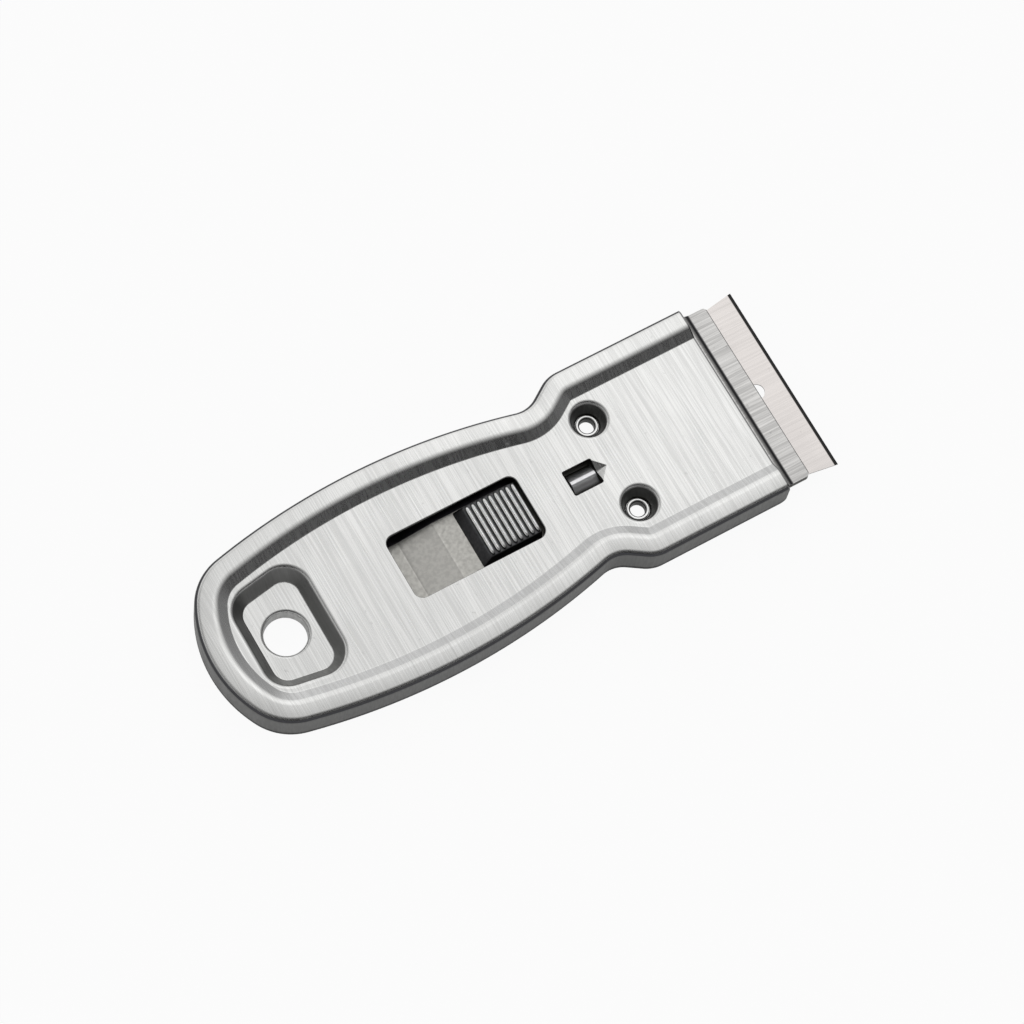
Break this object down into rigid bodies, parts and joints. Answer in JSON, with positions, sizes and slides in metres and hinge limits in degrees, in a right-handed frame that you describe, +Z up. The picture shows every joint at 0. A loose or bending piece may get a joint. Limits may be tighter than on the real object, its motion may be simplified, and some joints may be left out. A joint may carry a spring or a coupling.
{
  "type": "razor blade scraper",
  "caption": "Flat pressed-steel holder whose ribbed thumb button slides a razor blade out of its mouth for scraping and back in; a hole at the butt hangs it up.",
  "frame": {"origin": "on the axis of the hang hole, at the plane that the base plate rests on", "axes": "+X along the scraper towards the blade, +Y across it, +Z up from the base plate to the thumb button"},
  "size_m": [0.1184, 0.0404, 0.0068],
  "materials": {
    "top_shell": "pressed sheet, brushed across its length",
    "bottom_shell": "pressed sheet, brushed across its length",
    "eyelet_left": "plated, bright",
    "eyelet_right": "plated, bright",
    "blade_carrier": "dull rolled sheet",
    "blade_clamp": "pressed sheet, satin",
    "clamp_rivet_left": "plain steel",
    "clamp_rivet_right": "plain steel",
    "thumb_button": "dark oxide, ridges worn bright",
    "blade_steel": "ground and polished blade steel",
    "blade_spine": "folded strip"
  },
  "bodies": {
    "housing": {"top_shell": "top_shell", "bottom_shell": "bottom_shell", "eyelet_left": "eyelet_left", "eyelet_right": "eyelet_right"},
    "slider": {"blade_carrier": "blade_carrier", "blade_clamp": "blade_clamp", "clamp_rivet_left": "clamp_rivet_left", "clamp_rivet_right": "clamp_rivet_right", "thumb_button": "thumb_button", "blade_steel": "blade_steel", "blade_spine": "blade_spine"}
  },
  "joints": [
    {"name": "blade_slide", "type": "slide", "parent": "housing", "child": "slider", "axis": [1, 0, 0], "range_m": [-0.0135, 0]}
  ]
}
